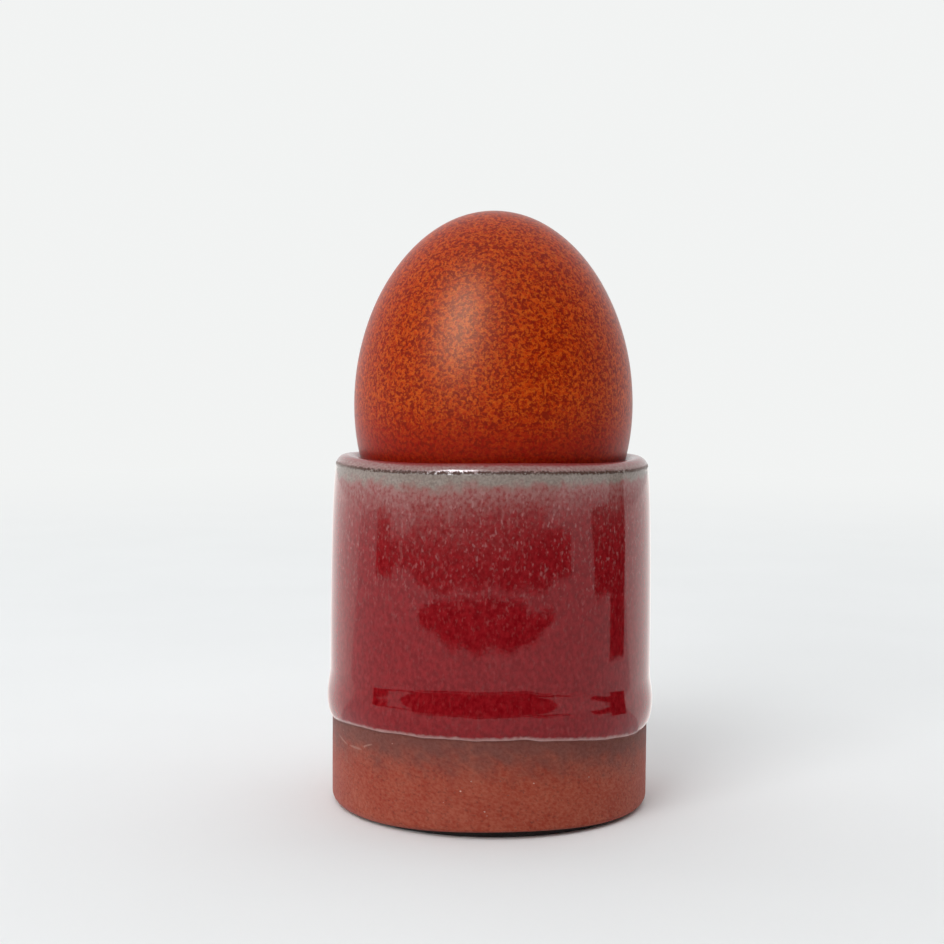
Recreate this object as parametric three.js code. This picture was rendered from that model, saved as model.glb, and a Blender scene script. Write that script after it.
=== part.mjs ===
// A boiled hen's egg standing in a straight-sided stoneware egg cup.
// Millimetres, +Z up, origin at the middle of the cup's foot, where it stands.
import * as THREE from "three";

// The cup: its clay wall, from the foot up to the lip.
const FOOT_RADIUS = 24.95;
const FOOT_ROUNDING = 1.5;
const LIP_HEIGHT = 54.55;
const LIP_RISE = 1.85; // how far the lip's rounding rises above the straight walls
const LIP_CREST_RADIUS = 22.8;
const LIP_OUTER_RADIUS = 24.6;
const LIP_INNER_RADIUS = 21.1;
const WELL_FLOOR = 8; // thickness of the clay under the well
const WELL_RADIUS = 20.6; // at the height where its side turns into the floor
const WELL_ROUNDING = 11;

// The glaze is a fused coat: a little thicker than the clay, and rolled thick at its lower edge.
const GLAZE_EDGE_HEIGHT = 14.6;
const GLAZE_ROLL_RADIUS = 25.78; // the fattest point of the roll
const GLAZE_ROLL_HEIGHT = 3; // from the edge up to that point
const GLAZE_ROLL_SPAN = 7.5; // from the edge up to where the roll has faded out
const GLAZE_LOWER_RADIUS = 25.32; // just above the roll
const GLAZE_UPPER_RADIUS = 24.85; // near the lip, where the coat runs thin

// Where the molten glaze ran lower round the cup: degrees from +X, width in degrees, drop in mm.
const GLAZE_RUNS = [
  { angle: -28, width: 32, drop: 1.7 },
  { angle: 64, width: 24, drop: 0.7 },
  { angle: 128, width: 20, drop: 1.1 },
  { angle: 192, width: 25, drop: 0.8 },
];

// The lip was finished by hand and undulates slightly.
const LIP_WAVES = 4;
const LIP_WAVE_HEIGHT = 0.13;
const LIP_WAVE_ANGLE = -82; // degrees from +X to a crest of the wave

// The egg, point up. Its outline is the Huegelschaeffer egg curve.
const EGG_LENGTH = 57.9;
const EGG_BREADTH = 43.8;
const EGG_POINTEDNESS = 1.26; // how far the fattest section lies below the middle
const EGG_BOTTOM = 34.9; // height of its blunt end inside the cup
const EGG_OFFSET = 0.15; // it leans against one side of the lip

const CUP_SEGMENTS = 64;
const EGG_SEGMENTS = 48;
const EGG_RINGS = 32;

const radians = THREE.MathUtils.degToRad;
const { lerp, smoothstep } = THREE.MathUtils;

// Points along a quarter of an ellipse, between two angles given in degrees.
function arcPoints(centreX, centreY, radiusX, radiusY, from, to, steps) {
  const points = [];
  for (let i = 0; i <= steps; i++) {
    const angle = radians(lerp(from, to, i / steps));
    points.push(
      new THREE.Vector2(
        centreX + radiusX * Math.cos(angle),
        centreY + radiusY * Math.sin(angle),
      ),
    );
  }
  return points;
}

// The glazed outer wall above the roll: nearly straight, easing in towards the lip.
function glazedRadius(height) {
  const low = GLAZE_EDGE_HEIGHT + GLAZE_ROLL_SPAN;
  const high = LIP_HEIGHT - LIP_RISE;
  const up = (height - low) / (high - low);
  const straight = lerp(GLAZE_LOWER_RADIUS, GLAZE_UPPER_RADIUS, up);
  const easeIn = (GLAZE_UPPER_RADIUS - LIP_OUTER_RADIUS) * up ** 8;
  return straight - easeIn;
}

// The roll of thick glaze: out from the bare clay in a quarter ellipse, then fading upwards.
function rollPoints() {
  const bottom = arcPoints(
    FOOT_RADIUS,
    GLAZE_EDGE_HEIGHT + GLAZE_ROLL_HEIGHT,
    GLAZE_ROLL_RADIUS - FOOT_RADIUS,
    GLAZE_ROLL_HEIGHT,
    -90,
    0,
    6,
  );
  const fade = [];
  const steps = 4;
  for (let i = 1; i <= steps; i++) {
    const up = i / steps;
    const height = lerp(GLAZE_ROLL_HEIGHT, GLAZE_ROLL_SPAN, up);
    const radius = lerp(GLAZE_ROLL_RADIUS, GLAZE_LOWER_RADIUS, smoothstep(up, 0, 1));
    fade.push(new THREE.Vector2(radius, GLAZE_EDGE_HEIGHT + height));
  }
  return [...bottom, ...fade];
}

// The cup's outline, from the middle of the base round the outside to the middle of the well.
function cupProfile() {
  const shoulder = LIP_HEIGHT - LIP_RISE;
  const profile = [
    new THREE.Vector2(0, 0),
    new THREE.Vector2((FOOT_RADIUS - FOOT_ROUNDING) / 2, 0),
    ...arcPoints(
      FOOT_RADIUS - FOOT_ROUNDING,
      FOOT_ROUNDING,
      FOOT_ROUNDING,
      FOOT_ROUNDING,
      -90,
      0,
      3,
    ),
    new THREE.Vector2(FOOT_RADIUS, lerp(FOOT_ROUNDING, GLAZE_EDGE_HEIGHT, 0.5)),
    new THREE.Vector2(FOOT_RADIUS, GLAZE_EDGE_HEIGHT - 1),
    ...rollPoints(),
  ];
  const wallSteps = 6;
  for (let i = 1; i < wallSteps; i++) {
    const height = lerp(GLAZE_EDGE_HEIGHT + GLAZE_ROLL_SPAN, shoulder, i / wallSteps);
    profile.push(new THREE.Vector2(glazedRadius(height), height));
  }
  const lipOuter = LIP_OUTER_RADIUS - LIP_CREST_RADIUS;
  const lipInner = LIP_CREST_RADIUS - LIP_INNER_RADIUS;
  profile.push(
    ...arcPoints(LIP_CREST_RADIUS, shoulder, lipOuter, LIP_RISE, 0, 90, 5),
    ...arcPoints(LIP_CREST_RADIUS, shoulder, lipInner, LIP_RISE, 108, 180, 4),
    new THREE.Vector2(lerp(LIP_INNER_RADIUS, WELL_RADIUS, 0.3), lerp(shoulder, WELL_FLOOR, 0.3)),
    ...arcPoints(
      WELL_RADIUS - WELL_ROUNDING,
      WELL_FLOOR + WELL_ROUNDING,
      WELL_ROUNDING,
      WELL_ROUNDING,
      0,
      -90,
      4,
    ),
    new THREE.Vector2(0, WELL_FLOOR),
  );
  return profile;
}

// How far the glaze edge hangs below its usual height at an angle round the cup.
function glazeDrop(angle) {
  let drop = 0;
  for (const run of GLAZE_RUNS) {
    const away = Math.abs(angle - radians(run.angle)) % (2 * Math.PI);
    const nearest = Math.min(away, 2 * Math.PI - away);
    drop += run.drop * Math.exp(-((nearest / radians(run.width)) ** 2));
  }
  return drop;
}

// Lets the glaze edge sag along its runs and the lip undulate, leaving the foot and the walls true.
function shapeByHand(geometry) {
  const position = geometry.getAttribute("position");
  const vertex = new THREE.Vector3();
  const rollTop = GLAZE_EDGE_HEIGHT + GLAZE_ROLL_SPAN;
  for (let i = 0; i < position.count; i++) {
    vertex.fromBufferAttribute(position, i);
    const angle = Math.atan2(vertex.y, vertex.x);
    const outside = Math.hypot(vertex.x, vertex.y) > LIP_CREST_RADIUS;
    const sag = outside
      ? smoothstep(vertex.z, FOOT_ROUNDING, GLAZE_EDGE_HEIGHT - 1) *
        (1 - smoothstep(vertex.z, rollTop, 2 * rollTop))
      : 0;
    const lip = smoothstep(vertex.z, LIP_HEIGHT - 6 * LIP_RISE, LIP_HEIGHT);
    const wave = LIP_WAVE_HEIGHT * Math.cos(LIP_WAVES * (angle - radians(LIP_WAVE_ANGLE)));
    position.setZ(i, vertex.z - sag * glazeDrop(angle) + lip * wave);
  }
  geometry.computeVertexNormals();
  return geometry;
}

// The radius of the egg at a share of its length above the blunt end.
function eggRadius(share) {
  const fromMiddle = (share - 0.5) * EGG_LENGTH;
  const taper =
    EGG_LENGTH ** 2 + 8 * EGG_POINTEDNESS * fromMiddle + 4 * EGG_POINTEDNESS ** 2;
  const swell = EGG_LENGTH ** 2 - 4 * fromMiddle ** 2;
  return (EGG_BREADTH / 2) * Math.sqrt(Math.max(swell, 0) / taper);
}

function eggProfile() {
  const profile = [];
  for (let i = 0; i <= EGG_RINGS; i++) {
    const share = (1 - Math.cos((Math.PI * i) / EGG_RINGS)) / 2;
    const onAxis = i === 0 || i === EGG_RINGS;
    profile.push(new THREE.Vector2(onAxis ? 0 : eggRadius(share), share * EGG_LENGTH));
  }
  return profile;
}

// Turns a profile about the upright axis.
function turned(profile, segments) {
  return new THREE.LatheGeometry(profile, segments).rotateX(Math.PI / 2);
}

function makeCup() {
  const material = new THREE.MeshStandardMaterial({
    color: 0x8c1f33,
    roughness: 0.12,
    metalness: 0,
  });
  const cup = new THREE.Mesh(shapeByHand(turned(cupProfile(), CUP_SEGMENTS)), material);
  cup.name = "egg_cup";
  return cup;
}

function makeEgg() {
  const material = new THREE.MeshStandardMaterial({
    color: 0xa8481f,
    roughness: 0.45,
    metalness: 0,
  });
  const egg = new THREE.Mesh(turned(eggProfile(), EGG_SEGMENTS), material);
  egg.name = "egg";
  egg.position.set(EGG_OFFSET, 0, EGG_BOTTOM);
  return egg;
}

const boiledEgg = new THREE.Group();
boiledEgg.add(makeCup(), makeEgg());

export default boiledEgg;
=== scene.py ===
"""A boiled egg in its stoneware egg cup: the visible model, its finishes and the studio.

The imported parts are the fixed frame. The egg and the cup are made again here at a
finer grain, in the same place and at the same size, and stand for those parts.
"""

from __future__ import annotations

import logging
import math
from dataclasses import dataclass, field
from enum import Enum
from typing import Any, Iterable, Sequence, Union

import bpy
import numpy as np
from mathutils import Matrix, Vector, noise

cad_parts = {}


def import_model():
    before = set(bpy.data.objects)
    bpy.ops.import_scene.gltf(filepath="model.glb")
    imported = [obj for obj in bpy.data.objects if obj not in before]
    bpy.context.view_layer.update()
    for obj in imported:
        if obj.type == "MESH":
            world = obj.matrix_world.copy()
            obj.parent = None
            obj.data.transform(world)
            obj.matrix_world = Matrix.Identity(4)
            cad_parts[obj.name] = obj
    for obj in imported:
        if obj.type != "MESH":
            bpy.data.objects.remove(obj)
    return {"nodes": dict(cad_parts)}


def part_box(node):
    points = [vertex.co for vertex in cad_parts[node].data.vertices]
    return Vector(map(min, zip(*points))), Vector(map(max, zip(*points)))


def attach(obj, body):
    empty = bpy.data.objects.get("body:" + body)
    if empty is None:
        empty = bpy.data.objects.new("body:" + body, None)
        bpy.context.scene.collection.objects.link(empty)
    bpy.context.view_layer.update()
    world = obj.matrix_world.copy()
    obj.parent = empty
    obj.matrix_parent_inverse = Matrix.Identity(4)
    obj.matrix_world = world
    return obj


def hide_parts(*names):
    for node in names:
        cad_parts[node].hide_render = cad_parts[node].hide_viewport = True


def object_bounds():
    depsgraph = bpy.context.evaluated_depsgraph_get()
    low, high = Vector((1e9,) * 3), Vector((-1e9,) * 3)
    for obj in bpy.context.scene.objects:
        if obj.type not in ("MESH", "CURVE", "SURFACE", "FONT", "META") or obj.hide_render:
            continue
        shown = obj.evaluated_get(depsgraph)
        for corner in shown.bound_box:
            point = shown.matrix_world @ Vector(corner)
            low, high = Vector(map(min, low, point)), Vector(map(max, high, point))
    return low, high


LOG = logging.getLogger("egg_cup")

MM = 0.001
NEGLIGIBLE_SHARE = 0.01

Socket = bpy.types.NodeSocket
Value = Union[float, Sequence[float], Socket]
Colour = tuple[float, float, float]


class Attribute(Enum):
    """Names of the measurements that the cup's mesh carries for its finishes, in metres."""

    ABOVE_EDGE = "above_glaze_edge"
    BELOW_ARRIS = "below_lip_arris"


class Surface(Enum):
    """The cup's two surfaces, in the order of its material slots."""

    CLAY = 0
    GLAZE = 1


# --------------------------------------------------------------------------- node trees


@dataclass
class Graph:
    """Adds nodes to one node tree, of shader or geometry nodes, and links them."""

    tree: bpy.types.NodeTree

    def add(
        self, kind: str, inputs: dict[str, Value] | None = None, **settings: Any
    ) -> bpy.types.Node:
        """Adds a node.

        Args:
            kind: The node's type name.
            inputs: What goes into its sockets, by socket name: a plain value or a socket.
            **settings: The node's own properties.

        Returns:
            The new node.
        """
        node = self.tree.nodes.new(kind)
        for name, value in settings.items():
            setattr(node, name, value)
        for name, value in (inputs or {}).items():
            self.feed(node.inputs[name], value)
        return node

    def feed(self, target: Socket, value: Value) -> None:
        """Sets a socket to a plain value, or links another socket to it.

        Args:
            target: The socket.
            value: The plain value or the other socket.
        """
        if isinstance(value, bpy.types.NodeSocket):
            self.tree.links.new(value, target)
        elif target.type == "RGBA" and len(value) == 3:
            target.default_value = (*value, 1.0)
        else:
            target.default_value = value

    def math(self, operation: str, *values: Value) -> Socket:
        """Works out one number.

        Args:
            operation: The operation's name, such as "ADD".
            *values: What it works on.

        Returns:
            The result's socket.
        """
        node = self.add("ShaderNodeMath", operation=operation)
        for target, value in zip(node.inputs, values):
            self.feed(target, value)
        return node.outputs[0]

    def vector(self, operation: str, *values: Value) -> Socket:
        """Works out one vector, or one number for a dot product, a length or a distance.

        Args:
            operation: The operation's name, such as "MULTIPLY".
            *values: What it works on.

        Returns:
            The result's socket.
        """
        node = self.add("ShaderNodeVectorMath", operation=operation)
        vectors = [s for s in node.inputs if s.type == "VECTOR"]
        for target, value in zip(vectors, values):
            self.feed(target, value)
        gives_number = operation in {"DOT_PRODUCT", "LENGTH", "DISTANCE"}
        return node.outputs["Value" if gives_number else "Vector"]

    def ramp(self, value: Value, low: Value, high: Value) -> Socket:
        """Rises smoothly from 0 at low to 1 at high.

        Args:
            value: What is measured.
            low: Where the rise starts.
            high: Where it ends; below low, the rise is a fall.

        Returns:
            The socket with the share from 0 to 1.
        """
        inputs = {"Value": value, "From Min": low, "From Max": high}
        node = self.add("ShaderNodeMapRange", inputs, interpolation_type="SMOOTHSTEP")
        return node.outputs["Result"]

    def mix(self, share: Value, first: Value, second: Value) -> Socket:
        """Mixes two colours.

        Args:
            share: How much of the second, from 0 to 1.
            first: The first colour.
            second: The second colour.

        Returns:
            The mixed colour's socket.
        """
        node = self.add("ShaderNodeMix", data_type="RGBA")
        self.feed(node.inputs[0], share)
        self.feed(node.inputs[6], first)
        self.feed(node.inputs[7], second)
        return node.outputs[2]

    def noise(
        self, vector: Value, size: Value, detail: Value = 2.0, roughness: float = 0.5
    ) -> Socket:
        """Soft random variation.

        Args:
            vector: Where on the surface.
            size: The size of its features, in the vector's units.
            detail: How many finer layers are added.
            roughness: How strong the finer layers are.

        Returns:
            A value about 0.5.
        """
        inputs = {
            "Vector": vector,
            "Scale": self.math("DIVIDE", 1.0, size),
            "Detail": detail,
            "Roughness": roughness,
        }
        node = self.add("ShaderNodeTexNoise", inputs)
        return node.outputs[0]


@dataclass
class Interface:
    """The named inputs and outputs of a node group."""

    tree: bpy.types.NodeTree

    def socket(self, name: str, kind: str, default: Any = None, output: bool = False) -> None:
        """Adds one socket.

        Args:
            name: The socket's name.
            kind: "Float", "Int", "Vector", "Color", "Geometry" or "Material".
            default: Its value where nothing is linked.
            output: True for an output.
        """
        direction = "OUTPUT" if output else "INPUT"
        item = self.tree.interface.new_socket(
            name, in_out=direction, socket_type=f"NodeSocket{kind}"
        )
        if default is not None:
            item.default_value = default

    def identifier(self, name: str) -> str:
        """Finds the identifier of an input.

        Args:
            name: The input's name.

        Returns:
            Its identifier.
        """
        for item in self.tree.interface.items_tree:
            if item.name == name and item.in_out == "INPUT":
                return item.identifier
        raise KeyError(name)


# ---------------------------------------------------------------- effects used by finishes


class Effects:
    """The node groups that several finishes use. Each is built once."""

    def __init__(self) -> None:
        """Builds the groups."""
        self.blotches = self._blotches()
        self.fade = self._fade()
        self.mark = self._mark()
        self.grain = self._grain()
        self.veins = self._veins()

    @staticmethod
    def _start(
        name: str, sockets: Iterable[tuple[str, str, Any]], output: str
    ) -> tuple[Graph, bpy.types.NodeOutputs]:
        """Starts a group.

        Args:
            name: The group's name.
            sockets: Its inputs, each a name, a kind and a default.
            output: The name of its one output, a number.

        Returns:
            The graph to build in, and the sockets that hold the inputs.
        """
        tree = bpy.data.node_groups.new(name, "ShaderNodeTree")
        interface = Interface(tree)
        for socket_name, kind, default in sockets:
            interface.socket(socket_name, kind, default)
        interface.socket(output, "Float", output=True)
        graph = Graph(tree)
        return graph, graph.add("NodeGroupInput").outputs

    @staticmethod
    def _end(graph: Graph, result: Socket) -> bpy.types.NodeTree:
        """Ends a group.

        Args:
            graph: The graph that it was built in.
            result: What it puts out.

        Returns:
            The group.
        """
        end = graph.add("NodeGroupOutput")
        graph.feed(end.inputs[0], result)
        return graph.tree

    def _blotches(self) -> bpy.types.NodeTree:
        """Irregular blotches, or streaks where they are stretched along Z.

        Returns:
            The node group, which puts out their mask.
        """
        graph, given = self._start(
            "Blotches",
            [
                ("Vector", "Vector", None),
                ("Size", "Float", 1 * MM),
                ("Stretch", "Float", 1.0),
                ("Coverage", "Float", 0.5),
                ("Softness", "Float", 0.1),
                ("Detail", "Float", 3.0),
                ("Seed", "Float", 0.0),
            ],
            "Mask",
        )
        squeeze = graph.math("DIVIDE", 1.0, given["Stretch"])
        scale = graph.add("ShaderNodeCombineXYZ", {"X": 1.0, "Y": 1.0, "Z": squeeze})
        stretched = graph.vector("MULTIPLY", given["Vector"], scale.outputs[0])
        shift = graph.add("ShaderNodeCombineXYZ", {"X": given["Seed"], "Y": given["Seed"]})
        place = graph.vector("ADD", stretched, shift.outputs[0])
        value = graph.noise(place, given["Size"], given["Detail"], roughness=0.55)
        # Noise gathers about a half, so coverage is turned into a threshold near it.
        threshold = graph.math("MULTIPLY_ADD", given["Coverage"], -0.4, 0.7)
        low = graph.math("SUBTRACT", threshold, given["Softness"])
        high = graph.math("ADD", threshold, given["Softness"])
        return self._end(graph, graph.ramp(value, low, high))

    def _fade(self) -> bpy.types.NodeTree:
        """A share that falls from 1 to 0 over a distance, with a ragged front.

        Returns:
            The node group, which puts out the share.
        """
        graph, given = self._start(
            "Ragged fade",
            [
                ("Vector", "Vector", None),
                ("Distance", "Float", 0.0),
                ("Start", "Float", 0.0),
                ("End", "Float", 1 * MM),
                ("Raggedness", "Float", 0.5 * MM),
                ("Size", "Float", 1 * MM),
            ],
            "Mask",
        )
        value = graph.noise(given["Vector"], given["Size"], detail=2.0)
        centred = graph.math("SUBTRACT", value, 0.5)
        # Noise seldom strays more than a quarter from its middle.
        shift = graph.math("MULTIPLY", graph.math("MULTIPLY", centred, 4.0), given["Raggedness"])
        distance = graph.math("ADD", given["Distance"], shift)
        fade = graph.ramp(distance, given["Start"], given["End"])
        return self._end(graph, graph.math("SUBTRACT", 1.0, fade))

    def _mark(self) -> bpy.types.NodeTree:
        """One oval mark, such as a spot or a scratch, at a place on the surface.

        Returns:
            The node group, which puts out its mask.
        """
        graph, given = self._start(
            "Oval mark",
            [
                ("Vector", "Vector", None),
                ("Centre", "Vector", None),
                ("Along", "Vector", (1.0, 0.0, 0.0)),
                ("Half Length", "Float", 1 * MM),
                ("Half Width", "Float", 0.5 * MM),
                ("Softness", "Float", 0.3),
            ],
            "Mask",
        )
        away = graph.vector("SUBTRACT", given["Vector"], given["Centre"])
        along = graph.vector("DOT_PRODUCT", away, given["Along"])
        whole = graph.vector("LENGTH", away)
        across_squared = graph.math(
            "SUBTRACT", graph.math("MULTIPLY", whole, whole), graph.math("MULTIPLY", along, along)
        )
        across = graph.math("SQRT", graph.math("MAXIMUM", across_squared, 0.0))
        u = graph.math("DIVIDE", along, given["Half Length"])
        v = graph.math("DIVIDE", across, given["Half Width"])
        reach = graph.math("ADD", graph.math("MULTIPLY", u, u), graph.math("MULTIPLY", v, v))
        rough = graph.noise(given["Vector"], given["Half Width"], detail=2.0)
        reach = graph.math("MULTIPLY", reach, graph.math("MULTIPLY_ADD", rough, 2.0, 0.2))
        low = graph.math("ADD", 1.0, given["Softness"])
        high = graph.math("SUBTRACT", 1.0, given["Softness"])
        return self._end(graph, graph.ramp(reach, low, high))

    def _veins(self) -> bpy.types.NodeTree:
        """A network of fine lines, like the crackle of a shell.

        Returns:
            The node group, which puts out their mask.
        """
        graph, given = self._start(
            "Vein network",
            [
                ("Vector", "Vector", None),
                ("Size", "Float", 1 * MM),
                ("Thickness", "Float", 0.06),
            ],
            "Mask",
        )
        value = graph.noise(given["Vector"], given["Size"], detail=1.5, roughness=0.6)
        away = graph.math("ABSOLUTE", graph.math("SUBTRACT", value, 0.5))
        return self._end(graph, graph.ramp(away, given["Thickness"], 0.0))

    def _grain(self) -> bpy.types.NodeTree:
        """The height of a fine grain in two sizes, for a Bump node.

        Returns:
            The node group, which puts out the height.
        """
        graph, given = self._start(
            "Fine grain",
            [
                ("Vector", "Vector", None),
                ("Size", "Float", 0.3 * MM),
                ("Coarse Size", "Float", 1.5 * MM),
                ("Coarse Share", "Float", 0.3),
            ],
            "Height",
        )
        fine = graph.noise(given["Vector"], given["Size"], detail=3.0, roughness=0.6)
        coarse = graph.noise(given["Vector"], given["Coarse Size"], detail=1.0)
        part = graph.math("MULTIPLY", coarse, given["Coarse Share"])
        return self._end(graph, graph.math("ADD", fine, part))


# ---------------------------------------------------------------------------- finishes


@dataclass(frozen=True)
class Blotch:
    """A pattern of irregular patches: their size, spread, stretch upwards and strength."""

    size: float
    coverage: float = 0.5
    softness: float = 0.1
    stretch: float = 1.0
    detail: float = 3.0
    seed: float = 0.0
    strength: float = 1.0


@dataclass(frozen=True)
class Front:
    """A ragged front: where a colour starts to give out, where it has gone, and how unevenly."""

    start: float
    end: float
    raggedness: float
    size: float
    strength: float = 1.0


@dataclass(frozen=True)
class Relief:
    """A fine relief: the size of its grain and of the coarser waves with it, and its depth."""

    size: float
    coarse_size: float
    coarse_share: float
    depth: float


@dataclass(frozen=True)
class Mark:
    """An oval mark: where it is, its half sizes, and how many degrees it rises to the right.

    On the egg its place is a distance to the right of the axis, seen from the front. On the
    cup's foot it is an angle from +X, in degrees.
    """

    sideways: float
    height: float
    half_length: float
    half_width: float
    tilt: float = 0.0


@dataclass
class Coat:
    """A material in the making: its graph, its shader and the object's own coordinates."""

    material: bpy.types.Material
    graph: Graph
    shader: bpy.types.Node
    place: Socket
    effects: Effects | None = None

    def use(self, group: bpy.types.NodeTree, **inputs: Value) -> Socket:
        """Places an effect.

        Args:
            group: The effect's node group.
            **inputs: Its inputs, with underscores for spaces.

        Returns:
            The effect's one output.
        """
        node = self.graph.add("ShaderNodeGroup", node_tree=group)
        for name, value in inputs.items():
            self.graph.feed(node.inputs[name.replace("_", " ")], value)
        return node.outputs[0]

    def measured(self, attribute: Attribute) -> Socket:
        """Reads one of the mesh's own measurements."""
        return self.graph.add("ShaderNodeAttribute", attribute_name=attribute.value).outputs["Fac"]

    def along(self, axis: str) -> Socket:
        """Reads the place along one axis, "X", "Y" or "Z"."""
        return self.graph.add("ShaderNodeSeparateXYZ", {"Vector": self.place}).outputs[axis]

    def blotches(self, blotch: Blotch, place: Socket | None = None) -> Socket:
        """Lays a pattern of patches.

        Args:
            blotch: The pattern.
            place: Where on the surface, if not the object's own coordinates.

        Returns:
            Its mask, at full strength.
        """
        return self.use(
            self.effects.blotches,
            Vector=self.place if place is None else place,
            Size=blotch.size,
            Stretch=blotch.stretch,
            Coverage=blotch.coverage,
            Softness=blotch.softness,
            Detail=blotch.detail,
            Seed=blotch.seed,
        )

    def front(self, front: Front, distance: Socket, place: Socket | None = None) -> Socket:
        """Lays a ragged front.

        Args:
            front: The front.
            distance: What its start and end are measured in.
            place: Where on the surface, if not the object's own coordinates.

        Returns:
            Its mask, at full strength.
        """
        return self.use(
            self.effects.fade,
            Vector=self.place if place is None else place,
            Distance=distance,
            Start=front.start,
            End=front.end,
            Raggedness=front.raggedness,
            Size=front.size,
        )

    def oval(self, mark: Mark, centre: Vector, along: Vector, softness: float = 0.3) -> Socket:
        """Lays one oval mark.

        Args:
            mark: The mark, for its size.
            centre: Its middle.
            along: The direction that it runs in.
            softness: How soft its outline is.

        Returns:
            Its mask.
        """
        return self.use(
            self.effects.mark,
            Vector=self.place,
            Centre=tuple(centre),
            Along=tuple(along),
            Half_Length=mark.half_length,
            Half_Width=mark.half_width,
            Softness=softness,
        )

    def layer(self, colour: Value, tint: Value, mask: Socket, strength: float = 1.0) -> Socket:
        """Lays a tint over a colour.

        Args:
            colour: The colour so far.
            tint: What goes over it.
            mask: Where.
            strength: How much of it, from 0 to 1.

        Returns:
            The new colour.
        """
        return self.graph.mix(self.graph.math("MULTIPLY", mask, strength), colour, tint)

    def emboss(self, relief: Relief) -> None:
        """Gives the shader a relief.

        Args:
            relief: The relief.
        """
        height = self.use(
            self.effects.grain,
            Vector=self.place,
            Size=relief.size,
            Coarse_Size=relief.coarse_size,
            Coarse_Share=relief.coarse_share,
        )
        inputs = {"Height": height, "Distance": relief.depth, "Strength": 1.0}
        normal = self.graph.add("ShaderNodeBump", inputs).outputs["Normal"]
        self.graph.feed(self.shader.inputs["Normal"], normal)

    def dress(self, **values: Value) -> bpy.types.Material:
        """Sets the shader's own sockets, or links what varies to them.

        Args:
            **values: What goes into each, with underscores for spaces.

        Returns:
            The material.
        """
        for name, value in values.items():
            self.graph.feed(self.shader.inputs[name.replace("_", " ")], value)
        return self.material


@dataclass(frozen=True)
class Finish:
    """What every finish has: a name, its plain gloss, and a way to start its material."""

    name: str
    ior: float = 1.5
    specular: float = 0.5

    def start(self, effects: Effects | None = None) -> Coat:
        """Starts the material.

        Args:
            effects: The shared effects, if it uses any.

        Returns:
            The material in the making.
        """
        material = bpy.data.materials.new(self.name)
        material.use_nodes = True
        graph = Graph(material.node_tree)
        shader = material.node_tree.nodes["Principled BSDF"]
        place = graph.add("ShaderNodeTexCoord").outputs["Object"]
        coat = Coat(material, graph, shader, place, effects)
        coat.dress(IOR=self.ior, Specular_IOR_Level=self.specular)
        return coat


@dataclass(frozen=True)
class EggshellFinish(Finish):
    """A brown hen's eggshell: an orange-brown ground under dense small dark mottles."""

    name: str = "brown eggshell"
    specular: float = 0.12
    warmth: Colour = (1.0, 0.84, 0.55)
    ground: Colour = (0.50, 0.043, 0.0006)
    shade: Colour = (0.28, 0.011, 0.0003)
    vein: Colour = (0.64, 0.122, 0.008)
    mottle: Colour = (0.20, 0.005, 0.0003)
    # Painted shade and painted red light reflected from the cup's lip: the shell is darker and
    # redder just above the rim.
    painted_rim_shade: Colour = (0.305, 0.0009, 0.0002)
    scratch: Colour = (0.55, 0.14, 0.05)
    bloom: Colour = (0.80, 0.84, 0.84)
    bloom_weight: float = 0.32
    bloom_roughness: float = 0.27
    roughness: float = 0.42
    clouds: Blotch = Blotch(0.62 * MM, softness=0.15, detail=2.0)
    cores: Blotch = Blotch(
        0.527 * MM, coverage=0.36, softness=0.07, detail=1.0, seed=0.37, strength=0.85
    )
    vein_sizes: tuple[float, ...] = (0.992 * MM, 0.651 * MM)
    vein_thickness: float = 0.055
    vein_share: float = 0.46
    painted_rim_shade_top: float = 64.5 * MM
    painted_rim_shade_bottom: float = 56.0 * MM
    painted_rim_shade_share: float = 0.80
    painted_rim_shade_hides_veins: float = 0.78
    spot: Mark = Mark(7.3 * MM, 61.5 * MM, 1.0 * MM, 0.5 * MM, tilt=-30.0)
    spot_share: float = 0.85
    scratches: tuple[Mark, ...] = (
        Mark(10.0 * MM, 62.3 * MM, 3.4 * MM, 0.10 * MM, tilt=8.0),
        Mark(9.0 * MM, 59.2 * MM, 2.6 * MM, 0.09 * MM, tilt=10.0),
    )
    scratch_share: float = 0.30
    pores: Relief = Relief(0.28 * MM, 1.2 * MM, 0.6, depth=0.012 * MM)

    def build(self, effects: Effects, egg: EggShell) -> bpy.types.Material:
        """Makes the material.

        Args:
            effects: The shared effects.
            egg: The egg, for the places of its marks.

        Returns:
            The material.
        """
        coat = self.start(effects)
        colour = coat.graph.mix(coat.blotches(self.clouds), self.ground, self.shade)
        # Painted shade: the shell darkens and reddens towards the cup's lip, which shades it and
        # reflects its red onto it; the veins fade there too.
        painted_rim_shade = coat.graph.ramp(coat.along("Z"), self.painted_rim_shade_top, self.painted_rim_shade_bottom)
        colour = coat.layer(colour, self.painted_rim_shade, painted_rim_shade, self.painted_rim_shade_share)
        hidden = -self.painted_rim_shade_hides_veins * self.vein_share
        share = coat.graph.math("MULTIPLY_ADD", painted_rim_shade, hidden, self.vein_share)
        for size in self.vein_sizes:
            veins = coat.use(
                effects.veins, Vector=coat.place, Size=size, Thickness=self.vein_thickness
            )
            colour = coat.graph.mix(coat.graph.math("MULTIPLY", veins, share), colour, self.vein)
        colour = coat.layer(colour, self.mottle, coat.blotches(self.cores), self.cores.strength)
        for mark in self.scratches:
            place = coat.oval(mark, *egg.placed(mark))
            colour = coat.layer(colour, self.scratch, place, self.scratch_share)
        spot = coat.oval(self.spot, *egg.placed(self.spot))
        colour = coat.layer(colour, self.mottle, spot, self.spot_share)
        coat.emboss(self.pores)
        return coat.dress(
            Base_Color=colour,
            Roughness=self.roughness,
            Specular_Tint=self.warmth,
            Sheen_Tint=self.bloom,
            Sheen_Weight=self.bloom_weight,
            Sheen_Roughness=self.bloom_roughness,
        )


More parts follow.
